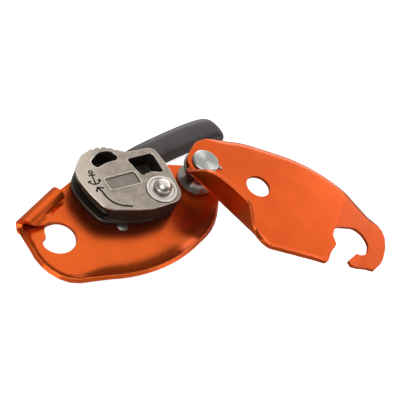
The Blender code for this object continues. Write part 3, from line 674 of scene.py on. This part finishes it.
# %% Side plates
SHEET = 4.0                            # thickness of the sheet, in millimetres as all below
BACK_MID = 28.0                        # height of the middle of the back plate's sheet
BACK_TOP = BACK_MID + SHEET / 2
PLATE_EASE = 0.55                      # width of the rounding along its edges
TAB_U, TAB_V = Vector((0.93, 0.368)), Vector((-0.368, 0.93))     # along the tab's fold, and across it
TAB_BASE, TAB_R = 68.2, 5.0            # where its bend starts, and the bend's radius
TAB_SPAN, TAB_FOOT = (-101.6, -55.2), 42.0    # its ends along the fold, and the foot of its flap
WINDING = (-115.5, 11.0)               # beyond this x and y, the rim winds up into the roll
TAB_END = ((-116.0, 28.0), 24.0)       # edges at the tab's open end that keep their corners: middle, reach
ROLL_START = ((104.0, 13.0), 14.0, 6)  # start of the rolled edge: middle, reach, rounds of smoothing


def in_tab(point):
    """True over the stretch of the back plate that the rolled tab replaces."""
    u, v = point.xy.dot(TAB_U), point.xy.dot(TAB_V)
    raised = v > TAB_BASE + 1.5 or point.z > BACK_TOP + 1.5
    over_fold = TAB_SPAN[0] < u < TAB_SPAN[1] and v > TAB_FOOT and raised
    winding = point.x < WINDING[0] and point.y > WINDING[1] and point.z > BACK_TOP + 0.6
    return over_fold or winding


back_plate = eased("back_plate", PLATE_EASE, orange_dish, orange_edge_highlight, left_sharp=[TAB_END], without=in_tab)
ride_on(back_plate, "frame")
front_plate = eased("front_plate", PLATE_EASE, orange, orange_edge_highlight, relax=[ROLL_START])
ride_on(front_plate, "gate")

# %% [markdown]
# Engraved lines and raised beads both follow a line with a round section. One node tree
# sweeps them all: a circle is carried along the path, the ends are capped so that it is a
# closed bar, and the bar gets its finish. Cut from a face, such a bar leaves the groove of a
# ball-nosed tool.

# %% Lines swept along a path
BAR_SIDES = 10
CURVE_STEPS = 6      # points drawn for each one given


def sweep_tree():
    tree = bpy.data.node_groups.new("round line", "GeometryNodeTree")
    for name, way, kind in (("Path", "INPUT", "Geometry"), ("Radius", "INPUT", "Float"),
                            ("Finish", "INPUT", "Material"), ("Line", "OUTPUT", "Geometry")):
        tree.interface.new_socket(name, in_out=way, socket_type="NodeSocket" + kind)
    start = tree.nodes.new("NodeGroupInput")
    end = tree.nodes.new("NodeGroupOutput")
    circle = tree.nodes.new("GeometryNodeCurvePrimitiveCircle")
    circle.inputs["Resolution"].default_value = BAR_SIDES
    sweep = tree.nodes.new("GeometryNodeCurveToMesh")
    sweep.inputs["Fill Caps"].default_value = True
    real = tree.nodes.new("GeometryNodeRealizeInstances")
    dress = tree.nodes.new("GeometryNodeSetMaterial")
    for one, out, two, into in ((start, "Path", sweep, "Curve"), (start, "Radius", circle, "Radius"),
                                (circle, "Curve", sweep, "Profile Curve"), (sweep, "Mesh", real, "Geometry"),
                                (real, "Geometry", dress, "Geometry"), (start, "Finish", dress, "Material"),
                                (dress, "Geometry", end, "Line")):
        tree.links.new(one.outputs[out], two.inputs[into])
    return tree


round_line = sweep_tree()


def swept(name, points, radius, material, closed=False):
    """A round bar along (x, y, z) points, with all lengths in millimetres."""
    data = bpy.data.curves.new(name, "CURVE")
    data.dimensions = "3D"
    spline = data.splines.new("POLY")
    spline.points.add(len(points) - 1)
    for slot, point in zip(spline.points, points):
        slot.co = (*(c * MM for c in point), 1.0)
    spline.use_cyclic_u = closed
    curve = placed(name + " path", data)
    change = curve.modifiers.new("sweep", "NODES")
    change.node_group = round_line
    for item in round_line.interface.items_tree:
        if item.in_out == "INPUT" and item.name in ("Radius", "Finish"):
            change[item.identifier] = radius * MM if item.name == "Radius" else material
    depsgraph = bpy.context.evaluated_depsgraph_get()
    mesh = bpy.data.meshes.new_from_object(curve.evaluated_get(depsgraph))
    bpy.data.objects.remove(curve, do_unlink=True)
    bm = bmesh.new()
    bm.from_mesh(mesh)
    bmesh.ops.recalc_face_normals(bm, faces=bm.faces)
    bm.to_mesh(mesh)
    bm.free()
    mesh.shade_smooth()
    print(name, len(mesh.polygons), "faces")
    return placed(name, mesh)


def between(rows, steps):
    """More rows of values, on smooth curves through those given."""
    ends = [rows[0]] + rows + [rows[-1]]
    finer = []
    for four in zip(ends, ends[1:], ends[2:], ends[3:]):
        for step in range(steps):
            f = step / steps
            finer.append([0.5 * (2 * b + (c - a) * f + (2 * a - 5 * b + 4 * c - d) * f * f +
                                 (3 * b - 3 * c + d - a) * f ** 3) for a, b, c, d in zip(*four)])
    return finer + [rows[-1]]


def curved(points):
    """A smooth line through (x, y) points."""
    return [row[0] for row in between([[Vector(p)] for p in points], CURVE_STEPS)]


def at_height(line, height):
    """The (x, y) points of a line, raised to a height."""
    return [(p[0], p[1], height) for p in line]


print("a round line is swept by", len(round_line.nodes), "nodes, with", BAR_SIDES, "sides")

# %% [markdown]
# Two marks are engraved in the cam's face: an anchor, which shows the side that the harness
# is on, and an arrow, which shows the way that the rope pulls. Each stroke is a bar of its
# own, because a cutter that crosses itself is no longer a closed solid.

# %% Anchor and arrow
MARK_HEIGHT = CAM_TOP + 0.15
ANCHOR_CUT, ARROW_CUT = 0.75, 0.95      # radii of the two cutters
RING_MIDDLE, RING_RADIUS, RING_POINTS = (-49.9, 40.4), 1.6, 14
ring_angles = [k * math.pi / (RING_POINTS / 2) for k in range(RING_POINTS)]
ring = [(RING_MIDDLE[0] + RING_RADIUS * math.cos(a), RING_MIDDLE[1] + RING_RADIUS * math.sin(a))
        for a in ring_angles]
shank = [(-50.2, 39.0), (-52.5, 27.8)]
stock = [(-53.7, 37.9), (-47.5, 36.5)]
arms = curved([(-56.6, 32.6), (-55.6, 29.6), (-52.5, 27.9), (-49.0, 28.2), (-46.6, 30.8)])
left_fluke = [(-57.6, 30.9), (-56.6, 32.9), (-54.6, 31.9)]
right_fluke = [(-48.8, 30.5), (-46.6, 31.1), (-46.4, 28.9)]
shaft = curved([(-53.0, 24.2), (-51.6, 19.0), (-51.2, 12.6), (-48.5, 5.2), (-42.8, -0.4), (-35.3, -4.5)])
head = [(-56.2, 20.6), (-53.0, 24.6), (-48.2, 21.6)]
strokes = [swept("anchor_ring", at_height(ring, MARK_HEIGHT), ANCHOR_CUT, cam_mark, closed=True)]
for number, line in enumerate((shank, stock, arms, left_fluke, right_fluke)):
    strokes.append(swept(f"anchor_stroke_{number}", at_height(line, MARK_HEIGHT), ANCHOR_CUT, cam_mark))
for number, line in enumerate((shaft, head)):
    strokes.append(swept(f"arrow_stroke_{number}", at_height(line, MARK_HEIGHT), ARROW_CUT, cam_mark))

# %% [markdown]
# The cam holds the rope in a groove that runs about its edge. At the foot the groove is closed
# by a web that the solid lacks, so a prism is joined to it before its edges are rounded, and
# web and casting get one skin. The marks are cut last, so that their own edges stay crisp.

# %% Cam
CAM_EASE = 0.9
KIDNEY_ENDS = [((-37.0, 49.5), 9.5, 5), ((-22.0, 50.0), 8.5, 5)]    # middle, reach, rounds of smoothing
CREST = ((-26.0, 62.0), 12.5)           # here the edges are too close together to ease: middle, reach
WEB = [(-53.0, 3.8), (-47.5, -1.4), (-40.0, -5.9), (-31.4, -9.95), (-21.7, -13.3), (-11.5, -15.0),
       (-5.0, -13.6), (-22.0, -3.0), (-40.0, 2.5)]
WEB_FOOT, WEB_TOP = 31.4, CAM_TOP - 3.0


def slab(name, outline, low, high):
    """A closed prism over (x, y) points, in millimetres."""
    bm = bmesh.new()
    foot = bm.faces.new([bm.verts.new((x * MM, y * MM, low * MM)) for x, y in outline])
    top = bmesh.ops.extrude_face_region(bm, geom=[foot])["geom"]
    for item in top:
        if isinstance(item, bmesh.types.BMVert):
            item.co.z = high * MM
    bmesh.ops.recalc_face_normals(bm, faces=bm.faces)
    mesh = bpy.data.meshes.new(name)
    bm.to_mesh(mesh)
    bm.free()
    return placed(name, mesh)


web = slab("web", WEB, WEB_FOOT, WEB_TOP)
cam = eased("cam", CAM_EASE, cam_face, cam_edge, cutters=strokes, relax=KIDNEY_ENDS, added=[web],
            left_sharp=[CREST])
for tool in (web, *strokes):
    bpy.data.objects.remove(tool, do_unlink=True)
ride_on(cam, "cam_unit")

# %% [markdown]
# A raised bead frames the recessed pad in the cam's face. It is a closed line with an arc at
# each corner, swept like the marks, but it is laid on the casting and not cut from it. Rope
# and gloves keep it bright, so it has the finish of the cam's edges.

# %% Pad bead
BEAD_RADIUS = 0.75
ARC_STEPS = 5
# Corners as x, y and the radius of the arc there.
PAD_CORNERS = [(-44.0, 30.4, 2.6), (-12.4, 26.6, 2.8), (-13.2, 12.4, 3.0), (-44.0, 16.6, 3.0)]


def round_corners(corners):
    """Outline with an arc at each corner."""
    line = []
    for index, (x, y, radius) in enumerate(corners):
        here = Vector((x, y))
        before = (Vector(corners[index - 1][:2]) - here).normalized()
        after = (Vector(corners[(index + 1) % len(corners)][:2]) - here).normalized()
        half = before.angle(after) / 2
        middle = here + (before + after).normalized() * radius / math.sin(half)
        first = here + before * radius / math.tan(half) - middle
        turn = math.pi - 2 * half
        side = 1.0 if before.cross(after) < 0 else -1.0
        line += [middle + Matrix.Rotation(side * turn * k / ARC_STEPS, 2) @ first
                 for k in range(ARC_STEPS + 1)]
    return line


bead_line = at_height(round_corners(PAD_CORNERS), CAM_TOP)
bead = swept("pad_bead", bead_line, BEAD_RADIUS, cam_edge, closed=True)
ride_on(bead, "cam_unit")

# %% [markdown]
# At its upper left the back plate is rolled over into a tab, which comes back down onto the
# plate and leaves an open C at its end. The tool that rolls it leaves one smooth surface, so
# it is drawn here as closely spaced bends of one strip: each column walks out from the flat,
# up the roll and down again. A few columns are given, and the rest lie on smooth curves
# through their values. Solidify gives the strip its thickness, and a bevel eases its edges.

# %% Rolled tab
PROUD = 0.05                # how far the tab's faces stand over the solid's
FLAP_GAP = 0.4              # between the plate and the flap that comes back down onto it
FLAP_END = 30.0             # straight length at the flap's end, more than any column needs
CUT_EDGE = 55.0             # faces that meet at more than this are the strip's cut edge, in degrees
ROWS = 30
FINER = 5                   # columns drawn for each one given
FOLD = math.degrees(math.atan2(TAB_V.y, TAB_V.x))
# Columns as (place, direction in degrees, developed length, bend radius, lean past upright):
# first the rim winding up into the roll, then the tab from its left end to its right.
COLUMNS = [(Vector((x, y)), angle, run, radius, 50.0) for x, y, angle, run, radius in (
    (-114.4, 8.0, 176, 10.0, 13.0), (-114.4, 13.4, 172, 10.0, 12.5), (-115.3, 18.0, 160, 9.6, 10.5),
    (-116.6, 21.6, 144, 9.2, 8.0), (-118.2, 24.4, 128, 9.0, 6.2))]
COLUMNS += [(TAB_U * u + TAB_V * TAB_BASE, FOLD, length, TAB_R, lean) for u, lean, length in (
    (-101.8, 50, 8.8), (-101.3, 50, 11.0), (-100.8, 50, 14.0), (-99.4, 50, 17.0), (-97.8, 50, 20.0),
    (-95.7, 50, 23.0), (-93.0, 50, 25.6), (-90.0, 50, 27.6), (-86.5, 50, 29.3), (-82.5, 50, 30.8),
    (-79.5, 56, 29.0), (-76.5, 64, 26.8), (-73.4, 75, 24.4), (-70.0, 75, 24.3), (-65.0, 75, 24.9),
    (-60.5, 75, 25.6), (-57.5, 75, 25.8), (-56.0, 75, 25.4), (-55.0, 75, 24.4))]


def walk(length, stretches):
    """Reach and rise after this length along (run, bend radius) stretches."""
    reach = rise = angle = 0.0
    for run, radius in stretches:
        step = min(length, run)
        if radius:
            turn = step / radius
            reach += radius * (math.sin(angle + turn) - math.sin(angle))
            rise += radius * (math.cos(angle) - math.cos(angle + turn))
            angle += turn
        else:
            reach += step * math.cos(angle)
            rise += step * math.sin(angle)
        length -= step
        if length <= 0:
            break
    return reach, rise


bm = bmesh.new()
grid = []
for place, angle, length, radius, lean in between(COLUMNS, FINER):
    tilt, turn = math.radians(lean), math.radians(angle)
    way_out = Vector((math.cos(turn), math.sin(turn)))
    back_bend = (radius * (1 + math.cos(tilt)) - SHEET - FLAP_GAP) / (1 - math.cos(tilt))
    way = [(radius * (math.pi + tilt), radius), (back_bend * tilt, -back_bend), (FLAP_END, 0.0)]
    line = []
    for row in range(ROWS):
        reach, rise = walk(length * row / (ROWS - 1), way)
        spot = place + way_out * reach
        line.append(bm.verts.new((spot.x * MM, spot.y * MM, (BACK_MID + rise) * MM)))
    grid.append(line)
for one, two in zip(grid, grid[1:]):
    for row in range(ROWS - 1):
        bm.faces.new((one[row], two[row], two[row + 1], one[row + 1]))
tab_mesh = bpy.data.meshes.new("rolled_tab")
bm.to_mesh(tab_mesh)
bm.free()
tab = placed("rolled_tab", tab_mesh, (orange_dish, orange_edge_highlight))
thick = tab.modifiers.new("sheet", "SOLIDIFY")
thick.thickness, thick.offset = (SHEET + 2 * PROUD) * MM, 0.0
ease = tab.modifiers.new("ease", "BEVEL")
ease.width, ease.segments, ease.material = PLATE_EASE * MM, BEVEL_STEPS, 1
ease.limit_method, ease.angle_limit = "ANGLE", math.radians(CUT_EDGE)
settled(tab)
even_normals(tab.data)
ride_on(tab, "frame")

# %% [markdown]
# The grip is moulded, and the bollard, the axle's dome, its ring and the bolt are turned.
# None of them has a worn edge to draw, so they get the finer copy alone. The limit says which
# edges of each one are meant to be sharp, and it is low on turned pieces, whose shoulders
# are crisp.

# %% Grip and turned pieces
PAST_LIMIT = 6.0      # shading runs on over edges that are this much sharper than the limit, in degrees


def smoothed(node, material, limit):
    """Replace a moulded or turned solid with a finer copy; edges sharper than the limit stay."""
    obj = settled(finer_copy(node, limit, [material]))
    even_normals(obj.data, limit + PAST_LIMIT)
    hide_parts(node)
    return obj


for node, material, limit, body in (("handle_grip", grip_rubber, 50.0, "handle"),
                                    ("bollard", bollard_steel, 30.0, "frame"),
                                    ("cam_axle", steel, 30.0, "cam_unit"),
                                    ("cam_ring", steel, 30.0, "cam_unit"),
                                    ("pivot_bolt", steel_bolt, 24.0, "frame")):
    ride_on(smoothed(node, material, limit), body)

# %% [markdown]
# The cam's foot comes to rest at a stop pin in the back plate. Its head is a low button, seen
# as a sliver beside the casting, so a flattened sphere is enough, set a little into the plate.

# %% Stop button
BUTTON_RADIUS, BUTTON_RISE = 5.0, 1.0
BUTTON_HEIGHT = BACK_TOP + 0.2        # height of the sphere's middle
button_mesh = bpy.data.meshes.new("stop_pin_finished")
bm = bmesh.new()
bmesh.ops.create_uvsphere(bm, u_segments=36, v_segments=18, radius=BUTTON_RADIUS * MM)
for vert in bm.verts:
    vert.co = Vector((vert.co.x + BUTTON_MIDDLE[0] * MM, vert.co.y + BUTTON_MIDDLE[1] * MM,
                      vert.co.z * BUTTON_RISE / BUTTON_RADIUS + BUTTON_HEIGHT * MM))
bm.to_mesh(button_mesh)
bm.free()
button_mesh.shade_smooth()
button = placed("stop_pin_finished", button_mesh, [button_steel])
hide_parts("stop_pin")
ride_on(button, "frame")

# %% [markdown]
# What sits behind and between the plates is seen only in slivers, or when the device is taken
# apart. These solids are fine enough as they are, so they keep their shape, and each one
# takes the finish of the metal that such a piece is made of.

# %% Finishes of the inner pieces
NODE_FINISH = {
    steel: ["cam_spring", "trip_ring", "cover_screw_1", "cover_screw_2", "cover_screw_3", "drive_plate",
            "axle_circlip", "pawl", "pawl_pin", "pawl_spring", "handle_spring"],
    steel_bolt: ["pivot_washer", "pivot_dowel", "rear_washer", "pivot_nut"],
    alloy: ["handle_lever", "hub_cover"],
    bronze: ["axle_bush", "hub_washer"],
}
for material, names in NODE_FINISH.items():
    for name in names:
        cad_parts[name].data.materials.clear()
        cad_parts[name].data.materials.append(material)
print(sum(len(names) for names in NODE_FINISH.values()), "solids keep their shape")
